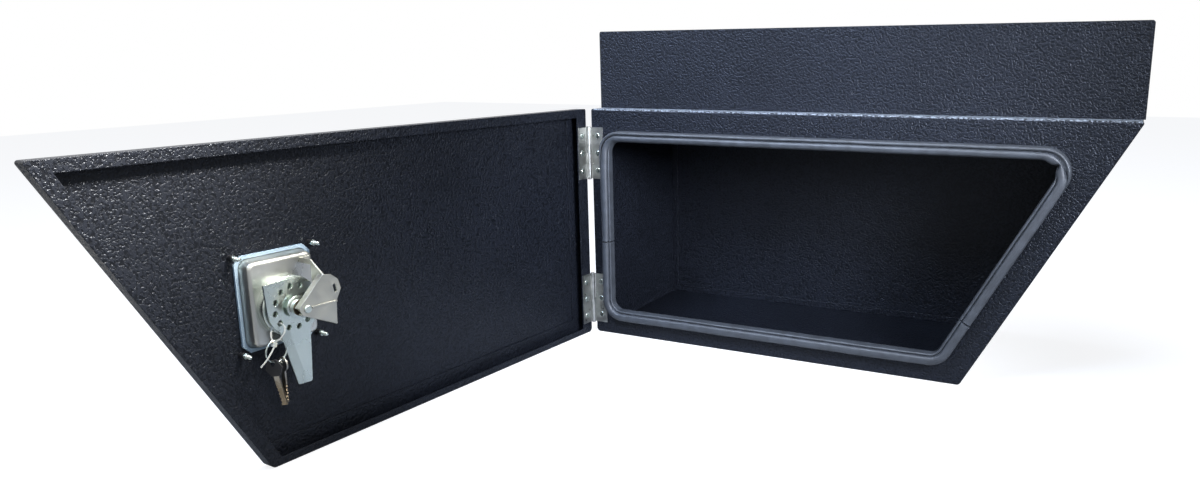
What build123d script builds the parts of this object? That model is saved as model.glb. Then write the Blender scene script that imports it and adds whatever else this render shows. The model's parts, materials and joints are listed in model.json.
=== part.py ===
"""Tapered under-tray vehicle toolbox, stored with its side-hinged door open.

The steel box has a square hinge end and a slanted far end, and a tall upstand on top that bolts to a
vehicle's tray.  A pan door hangs on two butt hinges.  Its recessed folding T-handle turns a cam behind
the door, and a nylon tie keeps two keys on that cam.

Frame: millimetres, +Z up, X along the front from the hinge end, +Y into the box.  The origin is the
middle of the underside.  Door and lock pieces are drawn on the door's own plane: x from the hinge edge,
y up, z out towards the door's skin, with z = 0 at the lips that face the box.
"""

import os
from math import atan2, cos, degrees, hypot, radians, sin

from build123d import *

os.makedirs("parts", exist_ok=True)

facing = 0.99               # two directions this close count as the same

# ---------------------------------------------------------------- driving dimensions (mm, degrees)
# Box
top_length = 850.0          # front face along its top edge
bottom_length = 636.0       # front face along its bottom edge
body_height = 400.0
body_depth = 310.0
box_sheet = 2.0
front_return = 12.0         # how far the front panel wraps back round the box
front_bend = 3.0            # outside bend radius of the front edges
bottom_corner = 7.0         # radius of the two bottom corners, seen from the front
top_corner = 3.0
rear_lap = 12.0             # width of the welded lap inside the back panel
rear_lap_sheet = 1.5

# Mounting upstand
upstand_height = 130.0
upstand_setback = 36.0      # from the front face to the upstand's face
upstand_foot = 40.0         # flange that lies on the top panel
upstand_sheet = 3.0
upstand_corner = 4.0

# Opening and its seal
lip_height = 12.0           # rolled edge that stands out round the opening
lip_seal_clearance = 1.0    # door's hinge-side lip to the seal's outer side when shut
margin_top = 46.0           # from the front's edge to the inside of that lip
margin_slant = 45.0
margin_bottom = 41.0
opening_corner = 26.0
seal_wall = 8.0             # rubber on each side of the lip
seal_round = 7.0
seal_clearance = 0.3
seam_hinge_height = 172.0   # where the two lengths of seal meet
seam_slant_height = 105.0

# Hinges
hinge_height = 89.0
upper_hinge_from_top = 76.0
lower_hinge_middle = 64.0
leaf_sheet = 1.5
leaf_edge = 0.5             # door lip beyond the leaf
leaf_start = 1.0            # leaf edge beside the other leaf's knuckle
knuckle_radius = 4.2
knuckle_end_gap = 0.5
pin_radius = 2.0
pin_running_clearance = 0.05
pin_head_radius = 3.2
pin_head = 1.2
pin_end_gap = 0.3
hinge_out = 3.6             # pin centre beyond the hinge edge
hinge_proud = 2.6           # pin centre in front of the box
rivet_radius = 2.4
rivet_head_radius = 4.6
rivet_head = 1.0
rivet_spacing = 30.0
rivet_from_edge = 13.0
dome_share = 0.8            # how much of a rivet head's height is rounded

# Door
door_open_angle = 95.7      # as stored; 0 is shut
door_depth = 20.0
door_sheet = 1.6
door_floor_clearance = 1.0
door_bend = 2.5
lip_hinge = 24.0
lip_top = 14.0
lip_slant = 16.0
bar_end_margin = 14.0       # bottom bar's end from the slanted edge
lip_bottom = 11.0
bar_sheet = 1.6
bar_weld_gap = 0.2          # bars above the door's folded edges
bottom_bar_height = 24.0
hinge_bar_width = 22.0
hinge_bar_start = 11.0

# Lock dish
lock_from_hinge = 598.0
lock_height = 200.0         # spindle above the underside
dish_rise = 6.5             # dish middle above the spindle
dish_width = 92.0
dish_height = 110.0
dish_depth = 20.0
dish_taper = 10.0
dish_corner = 12.0
dish_bottom_round = 5.0
dish_sheet = 1.5
plate_width = 122.0
plate_height = 136.0
plate_sheet = 2.0
plate_corner = 10.0
gasket_width = 4.0
gasket_thickness = 3.0
gasket_cut = 9.0
stud_pitch_x = 104.0
stud_pitch_y = 118.0
stud_radius = 2.5
stud_length = 22.0
sleeve_radius = 3.6
sleeve_length = 6.5
nut_across = 7.0
nut_height = 4.5
stud_running_clearance = 0.2

# Lock works
drum_radius = 37.0
drum_height = 12.0
drum_round = 3.0
spindle_radius = 7.0
bearing_clearance = 0.05
cam_sheet = 3.0
cam_gap = 2.5               # drum to cam
cam_radius = 35.0
cam_corner = (37.0, 33.0)
cam_tail_length = 99.0
cam_low_corner = 4.4         # how far the cam's square corner reaches below the spindle
cam_tail_root = (-19.0, 21.0)
cam_tail_start = 28.7
cam_tail_tip = (-14.6, 3.4)
cam_root_fillet = 9.0
cam_tip_round = 2.0
crease_width = 11.0         # bevelled band along the cam tail's edge
crease_depth = 2.2
ring_hole_radius = 3.5
ring_hole_circle = 26.0
ring_hole_count = 12
ring_hole_start = -8.0
hub_radius = 11.0
hub_height = 4.0
bridge_stand = 43.0         # face of the bridge behind the dish
bridge_sheet = 2.0
bridge_flange = 9.0
bridge_reach = 48.0
bridge_leg_x = -24.0
bridge_leg_top = 53.0
bridge_leg_clear = 47.0     # leg beyond the cam's widest sweep
bridge_leg_low = 24.0
bridge_leg_notch = 4.0      # leg's notch in front of the cam
bridge_foot = 14.0
lower_leg_x = -38.5
lower_leg_foot = -14.0
lower_leg_end = -7.0
bridge_slot_middle = (-39.5, 17.0)
bridge_slot = (11.0, 4.0)
bridge_slot_angle = 80.0
bridge_rib = 2.4
bridge_rib_start = 6.0
bridge_gap = 0.3            # end play of the spindle
spindle_neck_radius = 5.0
spindle_end_radius = 3.4
spindle_head_radius = 4.8
spindle_head = 1.8

# Folding T-handle
handle_pivot_height = 9.0   # pin above the dish floor
handle_reach = 36.0
handle_bar = 40.0
handle_bar_width = 11.0
handle_thick = 9.0
handle_stem = 18.0
handle_round = 2.5
handle_heel = 4.0           # rounding of the handle's pivot end
ear_sheet = 4.0
ear_gap = 0.3
clevis_radius = 16.0
clevis_base = 3.0
fold_pin_radius = 2.0
key_plug_radius = 6.0
key_plug_offset = 20.0
key_plug_depth = 6.0
key_slot = (1.6, 7.0)
key_slot_depth = 4.2

# Tie, ring and keys
tie_hole_angle = -38.0
tie_hang_angle = -62.0
tie_thick = 1.1
tie_width = 2.5
tie_length = 23.0
tie_flat = 4.0              # straight run at the loop's far end
tie_bulge = 5.0
tie_bulge_at = 13.0
tie_bend = 1.4
tie_head = (5.0, 5.0, 6.4)
tie_head_front = 4.0        # tie head in front of the ring's level
tie_tail_length = 29.0
tie_tail_angle = -44.0
key_ring_radius = 13.5
ring_stand = 1.2            # ring's middle in front of the cam's face
key_ring_wire = 0.9
key_length = 52.0
plain_key_angle = -118.0      # where on the ring the key hangs
plain_key_turn = 90.0
headed_key_angle = -62.0
headed_key_turn = -68.0
headed_key_lean = -12.0
key_bow = 9.0
key_thick = 2.0
key_hole_radius = 3.5
blade_width = 7.0
hex_bow = 11.5
key_head_thick = 2.0
key_cuts = 5
key_cut_pitch = 4.2
key_cut_depth = 1.3
key_cut_step = 0.65         # every other cut is this much deeper
key_ring_clearance = 1.0
key_play = 0.9               # a key's hole above the ring's wire

# ---------------------------------------------------------------- values worked out from them
taper = (top_length - bottom_length) / body_height
upper_hinge_middle = body_height - upper_hinge_from_top
margin_hinge = lip_hinge + lip_seal_clearance + seal_wall + box_sheet
leaf_width = lip_hinge - leaf_edge
slant_stretch = hypot(1.0, taper)
edge_x = -bottom_length / 2
front_y = -body_depth / 2
door_gap = 2 * hinge_proud
seal_proud = door_gap + door_depth - door_sheet - bar_sheet - seal_clearance
hinge_x = edge_x - hinge_out
hinge_y = front_y - hinge_proud
knuckle_length = (hinge_height - knuckle_end_gap) / 2
skin_inside = door_depth - door_sheet
cam_back = drum_height + cam_gap
cam_front = cam_back + cam_sheet
dish_floor = door_depth - dish_depth + dish_sheet

front = Plane(origin=(edge_x, front_y, 0), x_dir=(1, 0, 0), z_dir=(0, -1, 0))
hinge_turned = Location((hinge_x, hinge_y, 0), (0, 0, -door_open_angle))
shut_door = Plane(origin=(hinge_out, -hinge_proud, 0), x_dir=(1, 0, 0), z_dir=(0, -1, 0))
door = Plane(hinge_turned * shut_door.location)
lock = Plane(door.location * Location((lock_from_hinge, lock_height, 0)))
dish = Plane(lock.location * Location((0, dish_rise, 0)))


def outline(hinge_side, top, slant, bottom):
    """Corners of the front's outline, drawn in by a margin on each side."""
    low = bottom
    high = body_height - top

    def slanted_x(height):
        return bottom_length + taper * height - slant * slant_stretch

    return [(hinge_side, low), (slanted_x(low), low), (slanted_x(high), high), (hinge_side, high)]


def inset(amount):
    """The outline drawn in by the same margin all round."""
    return outline(amount, amount, amount, amount)


def opening(grow):
    """The opening's corners, grown by an amount on every side."""
    return outline(margin_hinge - grow, margin_top - grow, margin_slant - grow, margin_bottom - grow)


def save(piece, name):
    """Label a finished piece and write its STEP file."""
    piece.label = name
    export_step(piece, f"parts/{name}.step")


def rounded_outline(margins, low_radius, high_radius):
    """Draw an outline whose two low and two high corners are rounded."""
    with BuildSketch() as shape:
        Polygon(*margins, align=None)
        corners = shape.vertices().sort_by(Axis.Y)
        fillet(corners[:2], low_radius)
        corners = shape.vertices().group_by(Axis.Y)[-1]
        fillet(corners, high_radius)
    return shape.sketch


def ring_outline(grow):
    """The opening's rounded shape, grown by an amount."""
    with BuildSketch() as shape:
        Polygon(*opening(grow), align=None)
        fillet(shape.vertices(), opening_corner + grow)
    return shape.sketch


# ---------------------------------------------------------------- box
rivet_heights = [
    middle + step * rivet_spacing
    for middle in (lower_hinge_middle, upper_hinge_middle)
    for step in (-1, 0, 1)
]

with BuildPart() as front_panel:
    with BuildSketch(front.offset(-front_return)):
        add(rounded_outline(inset(0), bottom_corner, top_corner))
    extrude(amount=front_return)
    fillet(front_panel.faces().sort_by(Axis.Y)[0].edges(), front_bend)
    with BuildSketch(front.offset(-front_return)):
        add(rounded_outline(inset(box_sheet), bottom_corner - box_sheet, top_corner - box_sheet))
    extrude(amount=front_return - box_sheet, mode=Mode.SUBTRACT)
    with BuildSketch(front):
        add(ring_outline(box_sheet))
    extrude(amount=lip_height)
    with BuildSketch(front.offset(lip_height)):
        add(ring_outline(0))
    extrude(amount=-lip_height - box_sheet, mode=Mode.SUBTRACT)
    with BuildSketch(front):
        with Locations(*[(rivet_from_edge, height) for height in rivet_heights]):
            Circle(rivet_radius)
    extrude(amount=-box_sheet, mode=Mode.SUBTRACT)
save(front_panel.part, "front_panel")

with BuildPart() as back_panel:
    with BuildSketch(front.offset(-body_depth)):
        add(rounded_outline(inset(0), bottom_corner, top_corner))
    extrude(amount=box_sheet)
save(back_panel.part, "back_panel")

with BuildPart() as rear_lap_frame:
    with BuildSketch(front.offset(box_sheet - body_depth)):
        add(rounded_outline(inset(box_sheet), bottom_corner - box_sheet, top_corner - box_sheet))
        Polygon(*inset(box_sheet + rear_lap), align=None, mode=Mode.SUBTRACT)
    extrude(amount=rear_lap_sheet)
save(rear_lap_frame.part, "rear_lap_frame")

outer_corners = inset(0)
outline_middle = ((bottom_length + top_length) / 4, body_height / 2)
wall_names = ["floor_panel", "slanted_end_panel", "top_panel", "hinge_end_panel"]
for side, wall_name in enumerate(wall_names):
    with BuildPart() as wall:
        with BuildSketch(front.offset(box_sheet - body_depth)):
            add(rounded_outline(inset(0), bottom_corner, top_corner))
            add(
                rounded_outline(inset(box_sheet), bottom_corner - box_sheet, top_corner - box_sheet),
                mode=Mode.SUBTRACT,
            )
            Polygon(
                outer_corners[side],
                outer_corners[(side + 1) % 4],
                outline_middle,
                align=None,
                mode=Mode.INTERSECT,
            )
        extrude(amount=body_depth - front_return - box_sheet)
    save(wall.part, wall_name)

with BuildPart() as mounting_upstand:
    with BuildSketch(front.offset(-upstand_setback - upstand_sheet)) as upright:
        with Locations((0, body_height)):
            Rectangle(top_length, upstand_height, align=(Align.MIN, Align.MIN))
        fillet(upright.vertices().group_by(Axis.Y)[-1], upstand_corner)
    extrude(amount=upstand_sheet)
    with BuildSketch(front.offset(-upstand_setback - upstand_foot)):
        with Locations((0, body_height)):
            Rectangle(top_length, upstand_sheet, align=(Align.MIN, Align.MIN))
    extrude(amount=upstand_foot)
    fillet(
        mounting_upstand.edges().filter_by(Axis.X).group_by(Axis.Y)[-1].sort_by(Axis.Z)[-1],
        upstand_sheet / 3,
    )
save(mounting_upstand.part, "mounting_upstand")

# ---------------------------------------------------------------- opening seal, in two lengths
seam_hinge_x = margin_hinge
seam_slant_x = bottom_length + taper * seam_slant_height - margin_slant * slant_stretch
seam_angle = degrees(atan2(seam_slant_height - seam_hinge_height, seam_slant_x - seam_hinge_x))

for seal_name, kept_half in (("upper_seal", Keep.TOP), ("lower_seal", Keep.BOTTOM)):
    with BuildPart() as seal:
        with BuildSketch(front.offset(leaf_sheet + seal_clearance)):
            add(ring_outline(box_sheet + seal_wall))
            add(ring_outline(-seal_wall), mode=Mode.SUBTRACT)
        extrude(amount=seal_proud - leaf_sheet - seal_clearance)
        fillet(seal.faces().sort_by(Axis.Y)[0].edges(), seal_round)
        with BuildSketch(front):
            add(ring_outline(box_sheet))
            add(ring_outline(0), mode=Mode.SUBTRACT)
        extrude(amount=lip_height, mode=Mode.SUBTRACT)
        seam_origin = front.from_local_coords((seam_hinge_x, seam_hinge_height, 0))
        seam_normal = (-sin(radians(seam_angle)), 0, cos(radians(seam_angle)))
        split(bisect_by=Plane(origin=seam_origin, z_dir=seam_normal), keep=kept_half)
    save(seal.part, seal_name)


# ---------------------------------------------------------------- hinges
def hinge_leaf(face, side, middle, knuckle_high, bore_radius):
    """One hinge leaf on a face plane, on its +z (1) or -z (-1) side, with one half of the knuckle."""
    low = middle - hinge_height / 2
    knuckle_low = low
    if knuckle_high:
        knuckle_low = low + knuckle_length + knuckle_end_gap
    knuckle_foot = Plane(origin=(hinge_x, hinge_y, knuckle_low))
    with BuildPart() as leaf:
        with BuildSketch(face):
            with Locations((leaf_start, low)):
                Rectangle(leaf_width - leaf_start, hinge_height, align=(Align.MIN, Align.MIN))
            with Locations((-hinge_out, knuckle_low)):
                Rectangle(hinge_out + leaf_start, knuckle_length, align=(Align.MIN, Align.MIN))
            with Locations(*[(rivet_from_edge, middle + step * rivet_spacing) for step in (-1, 0, 1)]):
                Circle(rivet_radius, mode=Mode.SUBTRACT)
        extrude(amount=side * leaf_sheet)
        with BuildSketch(knuckle_foot):
            Circle(knuckle_radius)
        extrude(amount=knuckle_length)
        with BuildSketch(knuckle_foot):
            Circle(bore_radius)
        extrude(amount=knuckle_length, mode=Mode.SUBTRACT)
    return leaf.part


def leaf_rivets(face, side, held_sheet):
    """Domed rivets through both leaves on a face plane and the sheet behind them."""
    with BuildPart() as rivets:
        with BuildSketch(face.offset(-side * held_sheet)):
            with Locations(*[(rivet_from_edge, height) for height in rivet_heights]):
                Circle(rivet_radius)
        extrude(amount=side * (held_sheet + leaf_sheet))
        with BuildSketch(face.offset(side * leaf_sheet)):
            with Locations(*[(rivet_from_edge, height) for height in rivet_heights]):
                Circle(rivet_head_radius)
        extrude(amount=side * rivet_head)
        crown = face.offset(side * (leaf_sheet + rivet_head)).origin
        rims = rivets.edges().filter_by(GeomType.CIRCLE)
        rims = rims.filter_by(lambda rim: abs((rim.center() - crown).dot(face.z_dir)) < 0.01)
        fillet(rims, rivet_head * dome_share)
    return rivets.part


running_bore = pin_radius + pin_running_clearance
save(hinge_leaf(front, 1, upper_hinge_middle, True, pin_radius), "upper_hinge_box_leaf")
save(hinge_leaf(front, 1, lower_hinge_middle, False, pin_radius), "lower_hinge_box_leaf")
save(hinge_leaf(door, -1, upper_hinge_middle, False, running_bore), "upper_hinge_door_leaf")
save(hinge_leaf(door, -1, lower_hinge_middle, True, running_bore), "lower_hinge_door_leaf")
save(leaf_rivets(front, 1, box_sheet), "box_leaf_rivets")
save(leaf_rivets(door, -1, door_sheet), "door_leaf_rivets")

for pin_name, middle in (("upper_hinge_pin", upper_hinge_middle), ("lower_hinge_pin", lower_hinge_middle)):
    with BuildPart() as pin:
        with BuildSketch(Plane(origin=(hinge_x, hinge_y, middle - hinge_height / 2))):
            Circle(pin_radius)
        extrude(amount=hinge_height)
        for end_height, direction in ((middle + hinge_height / 2, 1), (middle - hinge_height / 2, -1)):
            with BuildSketch(Plane(origin=(hinge_x, hinge_y, end_height + direction * pin_end_gap))):
                Circle(pin_head_radius)
            extrude(amount=direction * pin_head)
            with BuildSketch(Plane(origin=(hinge_x, hinge_y, end_height))):
                Circle(pin_radius)
            extrude(amount=direction * pin_end_gap)
    save(pin.part, pin_name)


# ---------------------------------------------------------------- door
def door_outline(margin):
    """The door's corners, which follow the front's outline above a small floor clearance."""
    return outline(margin, margin, margin, margin + door_floor_clearance)


bar_low = door_floor_clearance + door_sheet + bar_weld_gap
bar_high = bar_low + bottom_bar_height

with BuildPart() as door_pan:
    with BuildSketch(door):
        add(rounded_outline(door_outline(0), bottom_corner, top_corner))
    extrude(amount=door_depth)
    skin_face = door_pan.faces().filter_by(lambda f: f.normal_at().dot(door.z_dir) > facing)
    fillet(skin_face.sort_by(SortBy.AREA)[-1].edges(), door_bend)
    with BuildSketch(door.offset(door_sheet)):
        add(
            rounded_outline(
                door_outline(door_sheet), bottom_corner - door_sheet, top_corner - door_sheet
            )
        )
    extrude(amount=skin_inside - door_sheet, mode=Mode.SUBTRACT)
    with BuildSketch(door):
        Polygon(*outline(lip_hinge, lip_top, lip_slant, lip_bottom), align=None)
    extrude(amount=door_sheet, mode=Mode.SUBTRACT)
    with BuildSketch(door):
        with Locations(*[(rivet_from_edge, height) for height in rivet_heights]):
            Circle(rivet_radius)
    extrude(amount=door_sheet, mode=Mode.SUBTRACT)
    with BuildSketch(dish.offset(skin_inside)):
        RectangleRounded(dish_width, dish_height, dish_corner)
        with GridLocations(stud_pitch_x, stud_pitch_y, 2, 2):
            Circle(stud_radius + stud_running_clearance)
    extrude(amount=door_sheet, mode=Mode.SUBTRACT)
save(door_pan.part, "door_pan")

with BuildPart() as door_bottom_bar:
    with BuildSketch(door.offset(skin_inside - bar_sheet)):
        Polygon(*outline(hinge_bar_start, body_height - bar_high, bar_end_margin, bar_low), align=None)
    extrude(amount=bar_sheet)
save(door_bottom_bar.part, "door_bottom_bar")

with BuildPart() as door_hinge_bar:
    with BuildSketch(door.offset(skin_inside - bar_sheet)):
        with Locations((hinge_bar_start, bar_high)):
            Rectangle(
                hinge_bar_width,
                body_height - door_sheet - bar_weld_gap - bar_high,
                align=(Align.MIN, Align.MIN),
            )
    extrude(amount=bar_sheet)
save(door_hinge_bar.part, "door_hinge_bar")

# ---------------------------------------------------------------- lock dish and its fixings
mouth_width = dish_width - 2 * dish_sheet
mouth_height = dish_height - 2 * dish_sheet

with BuildPart() as lock_dish:
    with BuildSketch(dish.offset(door_depth)):
        RectangleRounded(dish_width, dish_height, dish_corner)
    extrude(amount=-dish_depth, taper=dish_taper)
    floor_face = lock_dish.faces().filter_by(lambda f: f.normal_at().dot(dish.z_dir) < -facing)
    fillet(floor_face.edges(), dish_bottom_round)
    with BuildSketch(dish.offset(door_depth)):
        RectangleRounded(mouth_width, mouth_height, dish_corner - dish_sheet)
    extrude(amount=dish_sheet - dish_depth, taper=dish_taper, mode=Mode.SUBTRACT)
    inner_floor = lock_dish.faces().filter_by(lambda f: f.normal_at().dot(dish.z_dir) > facing)
    fillet(inner_floor.sort_by(SortBy.AREA)[-1].edges(), dish_bottom_round - dish_sheet)
    with BuildSketch(dish.offset(door_depth)):
        RectangleRounded(plate_width, plate_height, plate_corner)
        RectangleRounded(mouth_width, mouth_height, dish_corner - dish_sheet, mode=Mode.SUBTRACT)
    extrude(amount=plate_sheet)
    with BuildSketch(lock.offset(door_depth - dish_depth)):
        Circle(spindle_radius + bearing_clearance)
    extrude(amount=dish_depth / 2, mode=Mode.SUBTRACT)
save(lock_dish.part, "lock_dish")

with BuildPart() as lock_gasket:
    with BuildSketch(dish.offset(skin_inside)) as band:
        Rectangle(dish_width + 2 * gasket_width, dish_height + 2 * gasket_width)
        chamfer(band.vertices(), gasket_cut)
        RectangleRounded(dish_width, dish_height, dish_corner, mode=Mode.SUBTRACT)
    extrude(amount=-gasket_thickness)
save(lock_gasket.part, "lock_gasket")

with BuildPart() as lock_studs:
    with BuildSketch(dish.offset(door_depth)):
        with GridLocations(stud_pitch_x, stud_pitch_y, 2, 2):
            Circle(stud_radius)
    extrude(amount=-stud_length)
save(lock_studs.part, "lock_studs")

with BuildPart() as stud_sleeves:
    with BuildSketch(dish.offset(skin_inside)):
        with GridLocations(stud_pitch_x, stud_pitch_y, 2, 2):
            Circle(sleeve_radius)
            Circle(stud_radius, mode=Mode.SUBTRACT)
    extrude(amount=-sleeve_length)
save(stud_sleeves.part, "stud_sleeves")

with BuildPart() as stud_nuts:
    with BuildSketch(dish.offset(skin_inside - sleeve_length)):
        with GridLocations(stud_pitch_x, stud_pitch_y, 2, 2):
            RegularPolygon(nut_across / 2, 6, major_radius=False)
            Circle(stud_radius, mode=Mode.SUBTRACT)
    extrude(amount=-nut_height)
save(stud_nuts.part, "stud_nuts")

with BuildPart() as lock_drum:
    with BuildSketch(lock):
        Circle(drum_radius)
    extrude(amount=-drum_height)
    drum_rim = lock_drum.faces().filter_by(lambda f: f.normal_at().dot(lock.z_dir) < -facing)
    fillet(drum_rim.edges(), drum_round)
    with BuildSketch(lock):
        Circle(spindle_radius + bearing_clearance)
    extrude(amount=-drum_height, mode=Mode.SUBTRACT)
save(lock_drum.part, "lock_drum")

# ---------------------------------------------------------------- bridge that carries the spindle's end
bridge_left = (11.0, 2.5)
bridge_top_left = (bridge_leg_x, 37.0)
bridge_top_right = (-35.5, 35.0)
bridge_nose_high = (-45.0, 27.0)
bridge_nose_low = (-bridge_reach, 15.0)
bridge_waist = (-40.5, 1.0)
bridge_low_right = (lower_leg_x, -28.0)
bridge_low_left = (6.5, -7.0)
bridge_outline = [
    bridge_left,
    bridge_top_left,
    bridge_top_right,
    bridge_nose_high,
    bridge_nose_low,
    bridge_waist,
    bridge_low_right,
    bridge_low_left,
]


def edge_strip(start, end, width):
    """A strip just inside the straight edge from start to end, which has the plate on its left."""
    run = Vector(*end) - Vector(*start)
    middle = (Vector(*start) + Vector(*end)) / 2
    inward = Vector(-run.Y, run.X).normalized() * width / 2
    with Locations(middle + inward):
        Rectangle(run.length, width, rotation=degrees(atan2(run.Y, run.X)))


with BuildPart() as bridge_bracket:
    with BuildSketch(lock.offset(-bridge_stand)):
        Polygon(*bridge_outline, align=None)
        with Locations(bridge_slot_middle):
            SlotOverall(*bridge_slot, rotation=bridge_slot_angle, mode=Mode.SUBTRACT)
        Circle(spindle_end_radius + bearing_clearance, mode=Mode.SUBTRACT)
    extrude(amount=bridge_sheet)
    with BuildSketch(lock.offset(-bridge_stand)):
        edge_strip(bridge_left, bridge_top_left, bridge_sheet)
        edge_strip(bridge_low_right, bridge_low_left, bridge_sheet)
    extrude(amount=bridge_flange)
    with BuildSketch(lock.offset(-bridge_stand)):
        with Locations(((bridge_waist[0] - bridge_rib_start) / 2, bridge_waist[1] / 2)):
            Rectangle(-bridge_waist[0] - bridge_rib_start, bridge_rib)
    extrude(amount=-bridge_rib / 2)
    with BuildSketch(Plane(lock.location * Location((bridge_leg_x, 0, 0), (0, -90, 0)))):
        Polygon(
            (0, bridge_leg_clear),
            (0, bridge_leg_top),
            (-cam_front - bridge_leg_notch, bridge_leg_top),
            (-bridge_stand, bridge_top_left[1]),
            (-bridge_stand, bridge_leg_low),
            (-cam_front - bridge_leg_notch, bridge_leg_low),
            (-cam_front - bridge_leg_notch, bridge_leg_clear),
            align=None,
        )
    extrude(amount=bridge_sheet)
    with BuildSketch(lock):
        with Locations((bridge_leg_x, bridge_leg_clear)):
            Rectangle(bridge_foot, bridge_leg_top - bridge_leg_clear, align=(Align.MAX, Align.MIN))
    extrude(amount=-bridge_sheet)
    with BuildSketch(Plane(lock.location * Location((lower_leg_x, 0, 0), (0, 90, 0)))):
        Polygon(
            (0, bridge_low_right[1]),
            (0, lower_leg_foot),
            (bridge_stand, lower_leg_end),
            (bridge_stand, bridge_low_right[1]),
            align=None,
        )
    extrude(amount=bridge_sheet)
save(bridge_bracket.part, "bridge_bracket")

# ---------------------------------------------------------------- spindle, cam and handle clevis
clevis_bottom = dish_floor + bridge_gap
handle_pivot = dish_floor + handle_pivot_height
spindle_top = clevis_bottom + clevis_base

with BuildPart() as spindle:
    with BuildSketch(lock.offset(clevis_bottom)):
        Circle(spindle_radius)
    extrude(amount=-clevis_bottom - cam_front)
    with BuildSketch(lock.offset(-cam_front)):
        Circle(spindle_neck_radius)
    extrude(amount=cam_front + bridge_sheet + bridge_gap - bridge_stand)
    with BuildSketch(lock.offset(bridge_sheet + bridge_gap - bridge_stand)):
        Circle(spindle_end_radius)
    extrude(amount=-bridge_sheet - 2 * bridge_gap)
    with BuildSketch(lock.offset(-bridge_stand - bridge_gap)):
        Circle(spindle_head_radius)
    extrude(amount=-spindle_head)
    spindle_crown = spindle.faces().filter_by(lambda f: f.normal_at().dot(lock.z_dir) < -facing)
    fillet(spindle_crown.sort_by(lambda f: f.center().dot(lock.z_dir))[0].edges(), spindle_head * dome_share)
save(spindle.part, "spindle")

with BuildPart() as cam_plate:
    with BuildSketch(lock.offset(-cam_front)) as cam_shape:
        Circle(cam_radius)
        Polygon((0, cam_radius), (0, 0), (cam_radius, -cam_low_corner), cam_corner, align=None)
        Polygon(
            (cam_tail_root[0], -cam_tail_start),
            (cam_tail_tip[0], -cam_tail_length),
            (cam_tail_tip[1], -cam_tail_length),
            (cam_tail_root[1], -cam_tail_start),
            (0, 0),
            align=None,
        )
        roots = cam_shape.vertices().filter_by(lambda v: -cam_radius < v.Y < -cam_radius / 2)
        fillet(roots.sort_by(Axis.X)[:1], cam_root_fillet)
        tips = cam_shape.vertices().sort_by(Axis.Y)[:2]
        fillet(tips, cam_tip_round)
        Circle(spindle_radius, mode=Mode.SUBTRACT)
        with PolarLocations(ring_hole_circle, ring_hole_count, start_angle=ring_hole_start):
            Circle(ring_hole_radius, mode=Mode.SUBTRACT)
    extrude(amount=cam_sheet)
    tail_lean = degrees(
        atan2(cam_tail_tip[1] - cam_tail_root[1], cam_tail_length - cam_tail_start)
    )
    crease_start = Location((cam_tail_root[1], -cam_tail_start, -cam_front), (0, 0, tail_lean))
    with BuildSketch(Plane(lock.location * crease_start * Location((0, 0, 0), (90, 0, 0)))):
        Polygon((cam_sheet, 0), (-crease_width, 0), (cam_sheet, crease_depth), align=None)
    extrude(amount=cam_tail_length, mode=Mode.SUBTRACT)
save(cam_plate.part, "cam_plate")

with BuildPart() as cam_hub:
    with BuildSketch(lock.offset(-cam_front)):
        RegularPolygon(hub_radius, 6)
        Circle(spindle_neck_radius, mode=Mode.SUBTRACT)
    extrude(amount=-hub_height)
save(cam_hub.part, "cam_hub")

ear_inside = handle_stem / 2 + ear_gap
with BuildPart() as handle_clevis:
    with BuildSketch(lock.offset(clevis_bottom)):
        Circle(clevis_radius)
    extrude(amount=clevis_base)
    for ear_side in (-1, 1):
        with BuildSketch(Plane(lock.location * Location((ear_side * ear_inside, 0, 0), (0, -90, 0)))):
            with Locations((spindle_top, 0)):
                Rectangle(
                    handle_pivot - spindle_top,
                    handle_thick,
                    align=(Align.MIN, Align.CENTER),
                )
            with Locations((handle_pivot, 0)):
                Circle(handle_thick / 2)
                Circle(fold_pin_radius, mode=Mode.SUBTRACT)
        extrude(amount=-ear_side * ear_sheet)
save(handle_clevis.part, "handle_clevis")

with BuildPart() as fold_pin:
    with BuildSketch(Plane(lock.location * Location((0, 0, handle_pivot), (0, 90, 0)))):
        Circle(fold_pin_radius)
    extrude(amount=ear_inside + ear_sheet, both=True)
save(fold_pin.part, "fold_pin")

with BuildPart() as t_handle:
    with BuildSketch(lock.offset(handle_pivot - handle_thick / 2)) as tee:
        with Locations((0, handle_thick / 2)):
            Rectangle(handle_stem, handle_reach + handle_thick / 2, align=(Align.CENTER, Align.MAX))
        with Locations((0, -handle_reach)):
            Rectangle(handle_bar, handle_bar_width, align=(Align.CENTER, Align.MIN))
        fillet(tee.vertices().sort_by(Axis.Y)[:2], handle_bar_width / 3)
    extrude(amount=handle_thick)
    outer_face = t_handle.faces().filter_by(lambda f: f.normal_at().dot(lock.z_dir) > facing)
    fillet(outer_face.edges(), handle_round)
    head_end = t_handle.faces().filter_by(lambda f: f.normal_at().dot(lock.y_dir) > facing)
    pivot_corner = head_end.sort_by(lambda f: f.center().dot(lock.y_dir))[-1].edges()
    pivot_corner = pivot_corner.sort_by(lambda e: e.center().dot(lock.z_dir))[0]
    fillet(pivot_corner, handle_heel)
    with BuildSketch(Plane(lock.location * Location((0, 0, handle_pivot), (0, 90, 0)))):
        Circle(fold_pin_radius + bearing_clearance)
    extrude(amount=handle_stem, both=True, mode=Mode.SUBTRACT)
    with BuildSketch(lock.offset(handle_pivot + handle_thick / 2)):
        with Locations((0, -key_plug_offset)):
            Circle(key_plug_radius + bearing_clearance)
    extrude(amount=-key_plug_depth, mode=Mode.SUBTRACT)
save(t_handle.part, "t_handle")

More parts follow.
